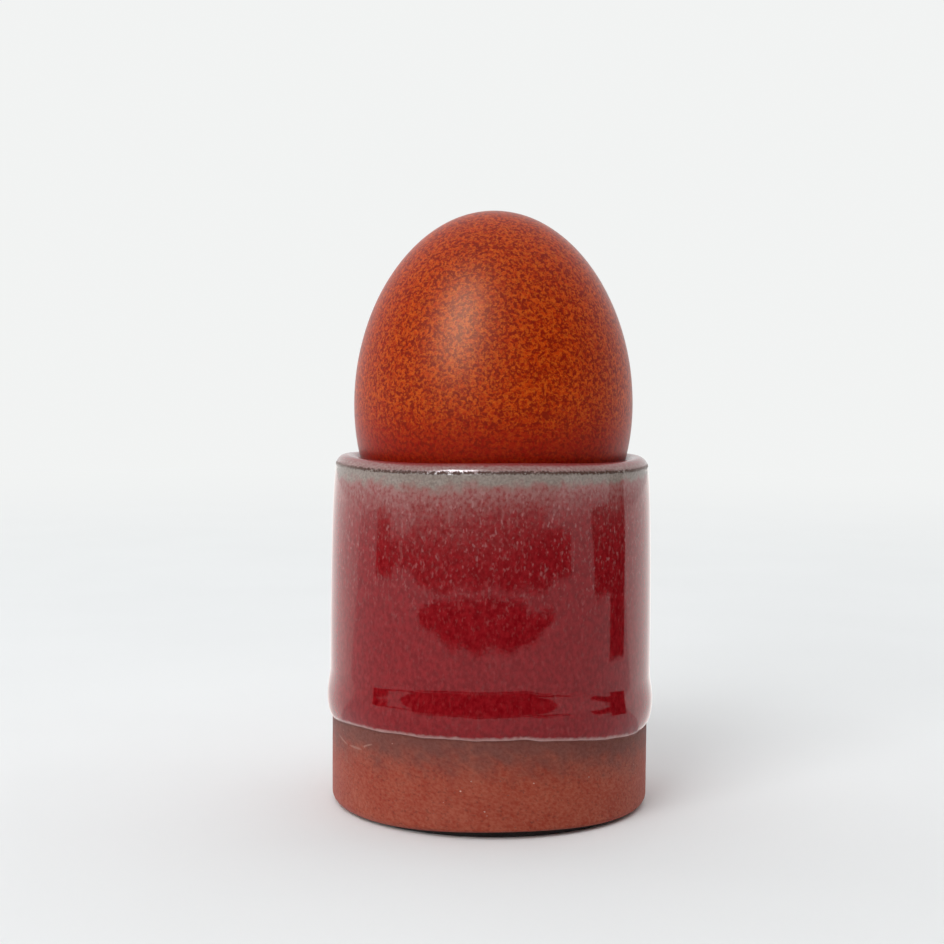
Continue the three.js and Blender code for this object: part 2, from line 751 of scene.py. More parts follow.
@dataclass(frozen=True)
class GlazeFinish(Finish):
    """A copper-red glaze: grey and thin at the lip, milky below it, deep red lower down."""

    name: str = "copper red glaze"
    ior: float = 1.37
    deep: Colour = (0.184, 0.0011, 0.0040)
    cloudy: Colour = (0.278, 0.0078, 0.0120)
    milky: Colour = (0.335, 0.150, 0.140)
    spark: Colour = (0.50, 0.27, 0.26)
    ashen: Colour = (0.342, 0.304, 0.268)
    sooty: Colour = (0.226, 0.196, 0.168)
    lip: Colour = (0.38, 0.255, 0.240)
    lip_shade: Colour = (0.27, 0.130, 0.120)
    inside: Colour = (0.26, 0.020, 0.022)
    arris: Colour = (0.056, 0.016, 0.006)
    # Partly the glaze thinned to pale at its lower edge, partly a painted reflection of the bright
    # floor.
    thin_toe_and_reflection: Colour = (0.50, 0.30, 0.28)
    roughness: float = 0.035
    lip_roughness: float = 0.12
    arris_roughness: float = 0.80
    clouds: Blotch = Blotch(0.60 * MM, softness=0.22, stretch=1.4, seed=0.11)
    streaks: Blotch = Blotch(0.52 * MM, softness=0.22, stretch=1.3, detail=3.5)
    curds: Blotch = Blotch(
        0.50 * MM, coverage=0.19, softness=0.09, stretch=1.7, detail=1.0, seed=0.71, strength=0.26
    )
    sparks: Blotch = Blotch(
        0.52 * MM, coverage=0.07, softness=0.09, stretch=1.7, detail=1.0, seed=0.43, strength=0.34
    )
    least_flecks: float = 0.04
    flecks_top: float = 3 * MM
    flecks_bottom: float = 26 * MM
    speckle: Blotch = Blotch(0.36 * MM, softness=0.24, detail=2.5, seed=0.83)
    breaks: Blotch = Blotch(0.6 * MM, coverage=0.80, softness=0.08, seed=0.21)
    milk_depth: float = 5.0 * MM
    milk_falloff: float = 3.0
    reach_size: float = 9 * MM
    reach_spread: float = 0.5
    reach_least: float = 0.78
    right_loss: tuple[float, float, float] = (-12 * MM, 18 * MM, 0.35)
    left_loss: tuple[float, float, float] = (-9 * MM, -18 * MM, 0.20)
    ash: Front = Front(0.9 * MM, 3.1 * MM, 0.9 * MM, 1.5 * MM, strength=0.90)
    over_lip: Front = Front(-0.35 * MM, -0.05 * MM, 0.12 * MM, 0.8 * MM)
    into_well: Front = Front(-1.9 * MM, -0.7 * MM, 0.22 * MM, 0.6 * MM, strength=0.85)
    arris_line: Front = Front(0.12 * MM, 0.36 * MM, 0.18 * MM, 0.4 * MM, strength=0.95)
    arris_rise: float = 0.18 * MM
    toe_line_and_reflection: Front = Front(0.10 * MM, 0.72 * MM, 0.14 * MM, 0.8 * MM, strength=0.9)
    waves: Relief = Relief(0.5 * MM, 4 * MM, 1.5, depth=0.004 * MM)

    def build(self, effects: Effects) -> bpy.types.Material:
        """Makes the material.

        Args:
            effects: The shared effects.

        Returns:
            The material.
        """
        coat = self.start(effects)
        below = coat.measured(Attribute.BELOW_ARRIS)
        above = coat.measured(Attribute.ABOVE_EDGE)
        reach = self._reach(coat)
        colour = self._body(coat, below, reach)
        # Partly thin glaze at its lower edge, partly a painted reflection of the bright floor in the
        # roll's underside.
        thin_toe_and_reflection = coat.front(self.toe_line_and_reflection, above)
        colour = coat.layer(colour, self.thin_toe_and_reflection, thin_toe_and_reflection, self.toe_line_and_reflection.strength)
        colour, over = self._lip(coat, below, reach, colour)
        dark = self._dark(coat, below)
        colour = coat.layer(colour, self.arris, dark, self.arris_line.strength)
        rough = coat.graph.math("MULTIPLY_ADD", over, self.lip_roughness, self.roughness)
        rough = coat.graph.math("MULTIPLY_ADD", dark, self.arris_roughness, rough)
        coat.emboss(self.waves)
        return coat.dress(Base_Color=colour, Roughness=rough)

    def _reach(self, coat: Coat) -> Socket:
        """Works out how far down the milk and the ash reach: unevenly, and less at the sides.

        Args:
            coat: The material in the making.

        Returns:
            The reach, about 1.
        """
        graph = coat.graph
        side = coat.along("X")
        uneven = graph.noise(coat.place, self.reach_size)
        reach = graph.math("MULTIPLY_ADD", uneven, self.reach_spread, self.reach_least)
        for start, end, loss in (self.right_loss, self.left_loss):
            lost = graph.math("MULTIPLY", graph.ramp(side, start, end), loss)
            reach = graph.math("SUBTRACT", reach, lost)
        return reach

    def _body(self, coat: Coat, below: Socket, reach: Socket) -> Socket:
        """Colours the red body: milk that thins out downwards, and small pale flecks.

        Args:
            coat: The material in the making.
            below: How far below the lip's arris.
            reach: How far down the milk reaches.

        Returns:
            The colour.
        """
        graph = coat.graph
        depth = graph.math("DIVIDE", graph.math("MAXIMUM", below, 0.0), self.milk_depth)
        depth = graph.math("DIVIDE", depth, reach)
        thinning = graph.math("ADD", graph.math("POWER", depth, self.milk_falloff), 1.0)
        streaks = graph.math("ADD", coat.blotches(self.streaks), 0.5)
        veil = graph.math("MINIMUM", graph.math("DIVIDE", streaks, thinning), 1.0)
        colour = graph.mix(coat.blotches(self.clouds), self.deep, self.cloudy)
        colour = graph.mix(veil, colour, self.milky)
        spread = graph.ramp(below, self.flecks_bottom, self.flecks_top)
        for blotch, tint in ((self.curds, self.milky), (self.sparks, self.spark)):
            share = graph.math("MULTIPLY_ADD", spread, blotch.strength, self.least_flecks)
            flecks = graph.math("MULTIPLY", coat.blotches(blotch), share)
            colour = graph.mix(flecks, colour, tint)
        return colour

    def _lip(
        self, coat: Coat, below: Socket, reach: Socket, colour: Socket
    ) -> tuple[Socket, Socket]:
        """Colours the lip: ash grey under its arris, pink over its top and red inside.

        Args:
            coat: The material in the making.
            below: How far below the lip's arris; negative over the lip.
            reach: How far down the ash reaches.
            colour: The colour so far.

        Returns:
            The colour, and the mask of the lip's top.
        """
        speckle = coat.blotches(self.speckle)
        ash = coat.front(self.ash, coat.graph.math("DIVIDE", below, reach))
        grey = coat.graph.mix(speckle, self.ashen, self.sooty)
        colour = coat.layer(colour, grey, ash, self.ash.strength)
        over = coat.front(self.over_lip, below)
        pink = coat.graph.mix(speckle, self.lip, self.lip_shade)
        colour = coat.layer(colour, pink, over)
        inner = coat.front(self.into_well, below)
        return coat.layer(colour, self.inside, inner, self.into_well.strength), over

    def _dark(self, coat: Coat, below: Socket) -> Socket:
        """Finds the broken dark line along the lip's arris.

        Args:
            coat: The material in the making.
            below: How far below the lip's arris.

        Returns:
            Its mask.
        """
        graph = coat.graph
        away = graph.math("ABSOLUTE", graph.math("ADD", below, self.arris_rise))
        line = coat.front(self.arris_line, away)
        broken = graph.math("MULTIPLY", line, coat.blotches(self.breaks))
        faint = graph.ramp(graph.math("ABSOLUTE", coat.along("X")), 18 * MM, 24 * MM)
        return graph.math("MULTIPLY", broken, graph.math("MULTIPLY_ADD", faint, -0.5, 1.0))


@dataclass(frozen=True)
class ClayFinish(Finish):
    """Bare fired clay: terracotta, flashed grey-mauve under the glaze, with turning marks."""

    name: str = "bare terracotta clay"
    specular: float = 0.12
    body: Colour = (0.405, 0.094, 0.050)
    ruddy: Colour = (0.290, 0.026, 0.008)
    flashed: Colour = (0.205, 0.064, 0.047)
    flashed_shade: Colour = (0.150, 0.038, 0.027)
    fleck: Colour = (0.110, 0.021, 0.012)
    crust: Colour = (0.50, 0.28, 0.22)
    # Painted shade, near black, for the clay under the foot's outer edge.
    painted_gap_shade: Colour = (0.012, 0.004, 0.003)
    roughness: float = 0.75
    sheen: float = 0.14
    pull: tuple[float, float, float] = (0.72, 0.72, 1.0)
    slant: float = 0.20
    tone: Blotch = Blotch(0.42 * MM, softness=0.22, detail=4.0, strength=0.72)
    broad_size: float = 5 * MM
    flecks: Blotch = Blotch(0.40 * MM, coverage=0.22, softness=0.06, seed=0.5, strength=0.42)
    halo: Front = Front(0.2 * MM, 7.4 * MM, 1.5 * MM, 1.6 * MM)
    crusts: tuple[Mark, ...] = (
        Mark(-154.7, 11.3 * MM, 2.4 * MM, 0.15 * MM, tilt=-12.0),
        Mark(-144.6, 11.0 * MM, 1.9 * MM, 0.19 * MM, tilt=1.0),
        Mark(-137.6, 11.9 * MM, 1.2 * MM, 0.14 * MM, tilt=18.0),
    )
    crust_softness: float = 0.6
    crust_share: float = 0.35
    painted_gap_shade_inside: tuple[float, float] = (-0.8 * MM, -0.2 * MM)
    painted_gap_shade_outside: tuple[float, float] = (0.65 * MM, 0.30 * MM)
    grain: Relief = Relief(0.22 * MM, 1.1 * MM, 0.8, depth=0.05 * MM)

    def build(self, effects: Effects, cup: EggCup) -> bpy.types.Material:
        """Makes the material.

        Args:
            effects: The shared effects.
            cup: The cup, for the places of the pale crusts that the glaze left on the clay.

        Returns:
            The material.
        """
        coat = self.start(effects)
        graph = coat.graph
        drag = self._dragged(coat)
        below = graph.math("MULTIPLY", coat.measured(Attribute.ABOVE_EDGE), -1.0)
        broad = graph.ramp(graph.noise(coat.place, self.broad_size, detail=3.0), 0.3, 0.7)
        broad = graph.math("MULTIPLY", broad, 1 - self.tone.strength)
        tone = coat.blotches(self.tone, drag)
        tone = graph.math("MULTIPLY_ADD", tone, self.tone.strength, broad)
        body = graph.mix(tone, self.body, self.ruddy)
        flashed = graph.mix(tone, self.flashed, self.flashed_shade)
        colour = coat.layer(body, flashed, coat.front(self.halo, below, drag))
        flecks = coat.blotches(self.flecks, drag)
        colour = coat.layer(colour, self.fleck, flecks, self.flecks.strength)
        for mark in self.crusts:
            patch = coat.oval(mark, *cup.placed(mark), self.crust_softness)
            colour = coat.layer(colour, self.crust, patch, self.crust_share)
        # Painted shade: the clay under the foot's lifted edge is darkened to near black.
        colour = coat.layer(colour, self.painted_gap_shade, self._gap_shade_mask(coat, cup.standing_radius))
        coat.emboss(self.grain)
        return coat.dress(Base_Color=colour, Roughness=self.roughness, Sheen_Weight=self.sheen)

    def _gap_shade_mask(self, coat: Coat, radius: float) -> Socket:
        """Finds where painted shade darkens the clay under the outer edge of the foot, in the gap
        over the table.

        Args:
            coat: The material in the making.
            radius: The radius that the foot stands on.

        Returns:
            Its mask.
        """
        graph = coat.graph
        out = graph.vector("LENGTH", graph.vector("MULTIPLY", coat.place, (1.0, 1.0, 0.0)))
        inner, outer = (
            graph.ramp(out, radius + low, radius + high)
            for low, high in (self.painted_gap_shade_inside, self.painted_gap_shade_outside)
        )
        return graph.math("MULTIPLY", inner, outer)

    def _dragged(self, coat: Coat) -> Socket:
        """Draws patterns out sideways, slanting down to the right, as the potter's hand does.

        Args:
            coat: The material in the making.

        Returns:
            The place that those patterns are laid by.
        """
        fall = coat.graph.math("MULTIPLY", coat.along("X"), self.slant)
        slanted = coat.graph.add("ShaderNodeCombineXYZ", {"Z": fall}).outputs[0]
        pulled = coat.graph.vector("MULTIPLY", coat.place, self.pull)
        return coat.graph.vector("ADD", pulled, slanted)


@dataclass(frozen=True)
class GrainFinish(Finish):
    """Small grains in the clay: grog or iron, uneven in tone from grain to grain."""

    light: Colour = (0.62, 0.38, 0.30)
    dark: Colour = (0.40, 0.20, 0.15)
    roughness: float = 0.7
    patch: float = 0.8 * MM

    def build(self) -> bpy.types.Material:
        """Makes the material.

        Returns:
            The material.
        """
        coat = self.start()
        tone = coat.graph.ramp(coat.graph.noise(coat.place, self.patch, detail=1.0), 0.4, 0.6)
        colour = coat.graph.mix(tone, self.light, self.dark)
        return coat.dress(Base_Color=colour, Roughness=self.roughness)


@dataclass(frozen=True)
class PlainFinish(Finish):
    """A plain studio surface, with a faint unevenness of tone."""

    colour: Colour = (0.8, 0.8, 0.8)
    roughness: float = 0.9
    specular: float = 0.0
    patch: float = 60 * MM
    dimmest: float = 0.985

    def tone(self, coat: Coat) -> Socket:
        """Mixes the surface's colour, and returns it."""
        share = coat.graph.ramp(coat.graph.noise(coat.place, self.patch), 0.3, 0.7)
        return coat.graph.mix(share, self.colour, tuple(self.dimmest * c for c in self.colour))

    def build(self) -> bpy.types.Material:
        """Makes the material.

        Returns:
            The material.
        """
        coat = self.start()
        return coat.dress(Base_Color=self.tone(coat), Roughness=self.roughness)


@dataclass(frozen=True)
class GlowFinish(PlainFinish):
    """A surface that shines evenly, like a lit white wall."""

    colour: Colour = (0.0, 0.0, 0.0)
    glow: Colour = (1.30, 1.26, 1.23)

    def build(self) -> bpy.types.Material:
        """Makes the material.

        Returns:
            The material.
        """
        coat = self.start()
        coat.dress(Emission_Color=self.glow, Emission_Strength=1.0)
        return coat.dress(Base_Color=self.tone(coat), Roughness=self.roughness)


@dataclass(frozen=True)
class SweepFinish(PlainFinish):
    """A pale floor that melts into the backdrop with distance, like a studio sweep."""

    backdrop: Colour = (0.88, 0.89, 0.885)
    fade_start: float = 0.15
    fade_end: float = 0.80

    def build(self) -> bpy.types.Material:
        """Makes the material.

        Returns:
            The material.
        """
        coat = self.start()
        distance = coat.graph.vector("LENGTH", coat.place)
        share = coat.graph.ramp(distance, self.fade_start, self.fade_end)
        black = (0.0, 0.0, 0.0)
        lit = coat.graph.mix(share, self.tone(coat), black)
        shown = coat.graph.mix(share, black, self.backdrop)
        coat.dress(Emission_Color=shown, Emission_Strength=1.0)
        return coat.dress(Base_Color=lit, Roughness=self.roughness)


# ------------------------------------------------------------------------------ pieces


def mesh_object(name: str, mesh: bpy.types.Mesh) -> bpy.types.Object:
    """Puts a mesh into the scene as an object at the origin.

    Args:
        name: The object's name.
        mesh: The mesh.

    Returns:
        The object.
    """
    piece = bpy.data.objects.new(name, mesh)
    bpy.context.scene.collection.objects.link(piece)
    return piece


def grown(
    name: str, tree: bpy.types.NodeTree, values: dict[str, Any], base: bpy.types.Mesh
) -> bpy.types.Object:
    """Runs a geometry node tree and keeps its result as a plain mesh.

    Args:
        name: The new piece's name.
        tree: The tree.
        values: What its named inputs are set to.
        base: The mesh that the tree starts from.

    Returns:
        The piece, with no modifier left on it.
    """
    maker = mesh_object(name + "_maker", base)
    modifier = maker.modifiers.new("make", "NODES")
    modifier.node_group = tree
    interface = Interface(tree)
    for key, value in values.items():
        modifier[interface.identifier(key)] = value
    evaluated = maker.evaluated_get(bpy.context.evaluated_depsgraph_get())
    mesh = bpy.data.meshes.new_from_object(evaluated)
    bpy.data.objects.remove(maker)
    mesh.name = name
    return mesh_object(name, mesh)


def end_tree(graph: Graph, geometry: Socket, finish: Socket) -> None:
    """Ends a geometry tree: smooth, made real and dressed in its finish.

    Args:
        graph: The tree's graph.
        geometry: What it has made.
        finish: The input that holds its material.
    """
    real = graph.add("GeometryNodeRealizeInstances", {"Geometry": geometry})
    smooth = graph.add("GeometryNodeSetShadeSmooth", {"Geometry": real.outputs[0]})
    again = graph.add("GeometryNodeRealizeInstances", {"Geometry": smooth.outputs[0]})
    inputs = {"Geometry": again.outputs[0], "Material": finish}
    dressed = graph.add("GeometryNodeSetMaterial", inputs)
    graph.feed(graph.add("NodeGroupOutput").inputs[0], dressed.outputs[0])


@dataclass
class EggShell:
    """The egg: an egg curve turned about its upright axis, with a faintly uneven shell."""

    low: Vector
    high: Vector
    pointedness: float = 1.26 * MM
    unevenness: float = 0.05 * MM
    uneven_size: float = 9 * MM
    segments: int = 320
    rings: int = 190

    @property
    def length(self) -> float:
        """The egg's length."""
        return self.high.z - self.low.z

    @property
    def breadth(self) -> float:
        """The egg's greatest width."""
        return self.high.x - self.low.x

    @property
    def centre_x(self) -> float:
        """How far its axis stands to the side of the cup's."""
        return (self.low.x + self.high.x) / 2

    def radius(self, height: float) -> float:
        """Works out the egg's radius.

        Args:
            height: How far above the table.

        Returns:
            The radius there.
        """
        middle = height - self.low.z - self.length / 2
        swell = max(self.length**2 - 4 * middle**2, 0.0)
        taper = self.length**2 + 8 * self.pointedness * middle + 4 * self.pointedness**2
        return self.breadth / 2 * math.sqrt(swell / taper)

    def placed(self, mark: Mark) -> tuple[Vector, Vector]:
        """Finds a mark's place on the front of the shell.

        Args:
            mark: The mark, placed as it is seen from the front.

        Returns:
            Its centre, and the direction that it runs in.
        """
        depth = math.sqrt(self.radius(mark.height) ** 2 - mark.sideways**2)
        tilt = math.radians(mark.tilt)
        centre = Vector((self.centre_x + mark.sideways, -depth, mark.height))
        return centre, Vector((math.cos(tilt), 0.0, math.sin(tilt)))

    def tree(self) -> bpy.types.NodeTree:
        """Builds the geometry nodes that shape a ball into the egg.

        Returns:
            The tree, with the egg's sizes as its inputs.
        """
        tree = bpy.data.node_groups.new("Egg curve", "GeometryNodeTree")
        interface = Interface(tree)
        interface.socket("Geometry", "Geometry")
        for name in ("Length", "Breadth", "Pointedness", "Unevenness", "Uneven Size"):
            interface.socket(name, "Float")
        interface.socket("Foot", "Vector")
        for name in ("Segments", "Rings"):
            interface.socket(name, "Int")
        interface.socket("Shell", "Material")
        interface.socket("Geometry", "Geometry", output=True)
        graph = Graph(tree)
        given = graph.add("NodeGroupInput").outputs
        ball = graph.add(
            "GeometryNodeMeshUVSphere",
            {"Segments": given["Segments"], "Rings": given["Rings"], "Radius": 1.0},
        )
        place = graph.add("GeometryNodeInputPosition").outputs[0]
        axes = graph.add("ShaderNodeSeparateXYZ", {"Vector": place}).outputs
        half = graph.math("MULTIPLY", given["Length"], 0.5)
        middle = graph.math("MULTIPLY", axes["Z"], half)
        point = graph.math("MULTIPLY", given["Pointedness"], middle)
        point = graph.math("MULTIPLY", point, 8.0)
        taper = graph.math("MULTIPLY_ADD", given["Length"], given["Length"], point)
        squared = graph.math("MULTIPLY", given["Pointedness"], given["Pointedness"])
        taper = graph.math("SQRT", graph.math("MULTIPLY_ADD", squared, 4.0, taper))
        girth = graph.math("DIVIDE", graph.math("MULTIPLY", given["Breadth"], half), taper)
        shaped = graph.add(
            "ShaderNodeCombineXYZ",
            {
                "X": graph.math("MULTIPLY", axes["X"], girth),
                "Y": graph.math("MULTIPLY", axes["Y"], girth),
                "Z": graph.math("ADD", middle, half),
            },
        ).outputs[0]
        value = graph.noise(shaped, given["Uneven Size"], detail=1.0)
        swell = graph.math("MULTIPLY", graph.math("SUBTRACT", value, 0.5), given["Unevenness"])
        swelling = graph.vector("MULTIPLY", place, self._spread(graph, swell))
        standing = graph.vector("ADD", graph.vector("ADD", shaped, swelling), given["Foot"])
        moved = graph.add(
            "GeometryNodeSetPosition", {"Geometry": ball.outputs["Mesh"], "Position": standing}
        )
        end_tree(graph, moved.outputs[0], given["Shell"])
        return tree

    @staticmethod
    def _spread(graph: Graph, value: Socket) -> Socket:
        """Makes a vector with the same value along each axis."""
        return graph.add("ShaderNodeCombineXYZ", {"X": value, "Y": value, "Z": value}).outputs[0]

    def build(self, shell: bpy.types.Material) -> bpy.types.Object:
        """Makes the egg.

        Args:
            shell: Its finish.

        Returns:
            The piece.
        """
        values = {
            "Length": self.length,
            "Breadth": self.breadth,
            "Pointedness": self.pointedness,
            "Unevenness": self.unevenness,
            "Uneven Size": self.uneven_size,
            "Foot": (self.centre_x, 0.0, self.low.z),
            "Segments": self.segments,
            "Rings": self.rings,
            "Shell": shell,
        }
        return grown("boiled_egg", self.tree(), values, bpy.data.meshes.new("egg start"))


@dataclass(frozen=True)
class GlazeRun:
    """A place where the molten glaze ran lower: its angle from +X, its width, and its drop."""

    angle: float
    width: float
    drop: float


@dataclass(frozen=True)
class Ripple:
    """A soft unevenness round the cup: the size of its waves, its height, and its own seed."""

    size: float
    height: float
    seed: float


@dataclass(frozen=True)
class SectionSteps:
    """How many steps the mesh takes over each stretch of the cup's section."""

    base: int = 8
    foot_rounding: int = 10
    clay: int = 30
    roll: int = 22
    roll_fade: int = 14
    wall: int = 52
    lip_outside: int = 22
    lip_inside: int = 14
    well_side: int = 8
    well_corner: int = 8
    well_floor: int = 4


@dataclass
class EggCup:
    """The cup: one turned stoneware body whose glaze ends in a hand-made, wandering roll."""

    low: Vector
    high: Vector
    foot_radius: float = 24.95 * MM
    foot_rounding: float = 1.5 * MM
    standing_radius: float = 23.3 * MM
    gap: float = 0.86 * MM
    gap_angle: float = -83.0
    gap_width: float = 38.0
    least_gap: float = 0.06 * MM
    lip_height: float = 54.55 * MM
    lip_rise: float = 1.85 * MM
    lip_crest_radius: float = 22.8 * MM
    lip_outer_radius: float = 24.6 * MM
    lip_inner_radius: float = 21.1 * MM
    well_floor: float = 8 * MM
    well_radius: float = 20.6 * MM
    well_rounding: float = 11 * MM
    edge_height: float = 14.6 * MM
    roll_height: float = 3 * MM
    roll_span: float = 7.5 * MM
    lower_radius: float = 25.32 * MM
    upper_radius: float = 24.85 * MM
    runs: tuple[GlazeRun, ...] = (
        GlazeRun(-28.0, 32.0, 1.7 * MM),
        GlazeRun(64.0, 24.0, 0.7 * MM),
        GlazeRun(128.0, 20.0, 1.1 * MM),
        GlazeRun(192.0, 25.0, 0.8 * MM),
        GlazeRun(-79.5, 4.5, -0.28 * MM),
    )
    lip_waves: int = 4
    lip_wave_height: float = 0.13 * MM
    lip_wave_angle: float = -82.0
    lip_wave_reach: float = 11.1 * MM
    lip_easing: int = 8
    sag_start: float = 1 * MM
    edge_ripples: tuple[Ripple, ...] = (
        Ripple(4.5 * MM, 0.16 * MM, seed=3.0),
        Ripple(1.4 * MM, 0.056 * MM, seed=9.0),
    )
    wall_ripples: tuple[Ripple, ...] = (
        Ripple(8 * MM, 0.035 * MM, seed=5.0),
        Ripple(3.5 * MM, 0.014 * MM, seed=6.0),
    )
    wall_stretch: float = 0.6
    wall_belly: float = 0.13 * MM
    arris_ripple: Ripple = Ripple(0.7 * MM, 0.05 * MM, seed=8.0)
    arris_drop: float = 0.78
    arris_width: float = 0.35 * MM
    turning_marks: Ripple = Ripple(0.55 * MM, 0.012 * MM, seed=4.0)
    steps: SectionSteps = SectionSteps()
    wall_crowding: float = 1.35
    columns: int = 448
    rings_of_clay: int = 0
    profile: list[np.ndarray] = field(default_factory=list)

    @property
    def roll_radius(self) -> float:
        """The cup's greatest radius, at the roll, which the frame gives."""
        return (self.high.x - self.low.x) / 2

    @property
    def angles(self) -> np.ndarray:
        """The angle of each column of the mesh, from +X."""
        return np.linspace(0, 2 * math.pi, self.columns, endpoint=False)

    def rippled(self, radius: float, height: float, ripples: Iterable[Ripple]) -> np.ndarray:
        """Works out the unevenness of a ring.

        Args:
            radius: The ring's radius.
            height: Its height.
            ripples: What makes it uneven.

        Returns:
            How far each column is off.
        """
        off = np.zeros(self.columns)
        for ripple in ripples:
            seed = Vector((0, 0, ripple.seed))
            for column, angle in enumerate(self.angles):
                place = Vector((radius * math.cos(angle), radius * math.sin(angle), height))
                off[column] += ripple.height * noise.noise(place / ripple.size + seed)
        return off

    def swell(self, angle: float, width: float) -> np.ndarray:
        """Works out a soft swell round the cup.

        Args:
            angle: Where its crest is, in degrees from +X.
            width: How wide it is, in degrees.

        Returns:
            Its share at each column, 1 at the crest.
        """
        away = np.abs(self.angles - math.radians(angle)) % (2 * math.pi)
        nearest = np.minimum(away, 2 * math.pi - away)
        return np.exp(-((nearest / math.radians(width)) ** 2))

    def edge(self) -> np.ndarray:
        """Works out the glaze's lower edge, with its runs and small ripples.

        Returns:
            Its height at each column.
        """
        edge = self.edge_height + self.rippled(
            self.foot_radius, self.edge_height, self.edge_ripples
        )
        for run in self.runs:
            edge -= run.drop * self.swell(run.angle, run.width)
        return edge

    def lip_wave(self) -> np.ndarray:
        """How far the lip rises or falls at each column."""
        turn = self.angles - math.radians(self.lip_wave_angle)
        return self.lip_wave_height * np.cos(self.lip_waves * turn)

    def foot_gap(self, radius: float, height: float) -> np.ndarray:
        """How far the outer edge of the foot stands clear of the table at each column.

        Args:
            radius: The ring's radius.
            height: Its height before it is lifted.

        Returns:
            The lift: none over the middle of the base, and none above the foot's rounding.
        """
        gap = self.least_gap + self.gap * self.swell(self.gap_angle, self.gap_width)
        overhangs = float(radius > self.standing_radius)
        return gap * overhangs * max(1 - height / self.foot_rounding, 0.0)

    @staticmethod
    def arc(
        centre: tuple[float, float],
        radii: tuple[float, float],
        start: float,
        stop: float,
        steps: int,
    ) -> list[tuple[float, float]]:
        """Points along an ellipse in the cup's section.

        Args:
            centre: The ellipse's centre, as a radius and a height.
            radii: Its two radii.
            start: The first angle, in degrees.
            stop: The last angle.
            steps: How many steps between them.

        Returns:
            The points, each a radius and a height.
        """
        turns = np.radians(np.linspace(start, stop, steps + 1))
        return [
            (centre[0] + radii[0] * math.cos(turn), centre[1] + radii[1] * math.sin(turn))
            for turn in turns
        ]

    def glazed_radius(self, height: float) -> float:
        """Works out the radius of the glazed wall above the roll, before the lip.

        Args:
            height: How far above the table.

        Returns:
            The radius there.
        """
        start = self.edge_height + self.roll_span
        up = (height - start) / (self.lip_height - self.lip_rise - start)
        straight = self.lower_radius + (self.upper_radius - self.lower_radius) * up
        straight += self.wall_belly * math.sin(math.pi * min(max(up, 0.0), 1.0))
        return straight - (self.upper_radius - self.lip_outer_radius) * up**self.lip_easing

    def clay_section(self) -> list[tuple[float, float]]:
        """Draws the bare clay, from the middle of the base up to the glaze's edge.

        Returns:
            The section's points, each a radius and a height.
        """
        rounding, steps = self.foot_rounding, self.steps
        flat = self.foot_radius - rounding
        points = [(self.standing_radius * i / steps.base, 0.0) for i in range(steps.base + 1)]
        points += self.arc((flat, rounding), (rounding, rounding), -90, 0, steps.foot_rounding)
        for i in range(1, steps.clay + 1):
            height = rounding + (self.edge_height - rounding) * i / steps.clay
            points.append((self.foot_radius, height))
        return points

    def glaze_section(self) -> list[tuple[float, float]]:
        """Draws the glaze, from its edge up the wall, over the lip and down into the well.

        Returns:
            The section's points, each a radius and a height.
        """
        steps = self.steps
        top_of_roll = self.edge_height + self.roll_height
        centre = (self.foot_radius, top_of_roll)
        out = self.roll_radius - self.foot_radius
        points = self.arc(centre, (out, self.roll_height), -90, 0, steps.roll)[1:]
        for i in range(1, steps.roll_fade + 1):
            up = i / steps.roll_fade
            height = top_of_roll + (self.roll_span - self.roll_height) * up
            inwards = (self.lower_radius - self.roll_radius) * self._blend(up, 0.0, 1.0)
            points.append((self.roll_radius + inwards, height))
        shoulder = self.lip_height - self.lip_rise
        start = self.edge_height + self.roll_span
        for i in range(1, steps.wall):
            up = 1 - (1 - i / steps.wall) ** self.wall_crowding
            height = start + (shoulder - start) * up
            points.append((self.glazed_radius(height), height))
        outer = self.lip_outer_radius - self.lip_crest_radius
        inner = self.lip_crest_radius - self.lip_inner_radius
        crest = (self.lip_crest_radius, shoulder)
        points += self.arc(crest, (outer, self.lip_rise), 0, 90, steps.lip_outside)
        points += self.arc(crest, (inner, self.lip_rise), 94, 180, steps.lip_inside)
        corner = self.well_floor + self.well_rounding
        for i in range(1, steps.well_side):
            down = i / steps.well_side
            radius = self.lip_inner_radius + (self.well_radius - self.lip_inner_radius) * down
            points.append((radius, shoulder + (corner - shoulder) * down))
        centre = (self.well_radius - self.well_rounding, corner)
        rounding = (self.well_rounding, self.well_rounding)
        points += self.arc(centre, rounding, 0, -90, steps.well_corner)
        for i in range(1, steps.well_floor + 1):
            points.append((centre[0] * (1 - i / steps.well_floor), self.well_floor))
        return points

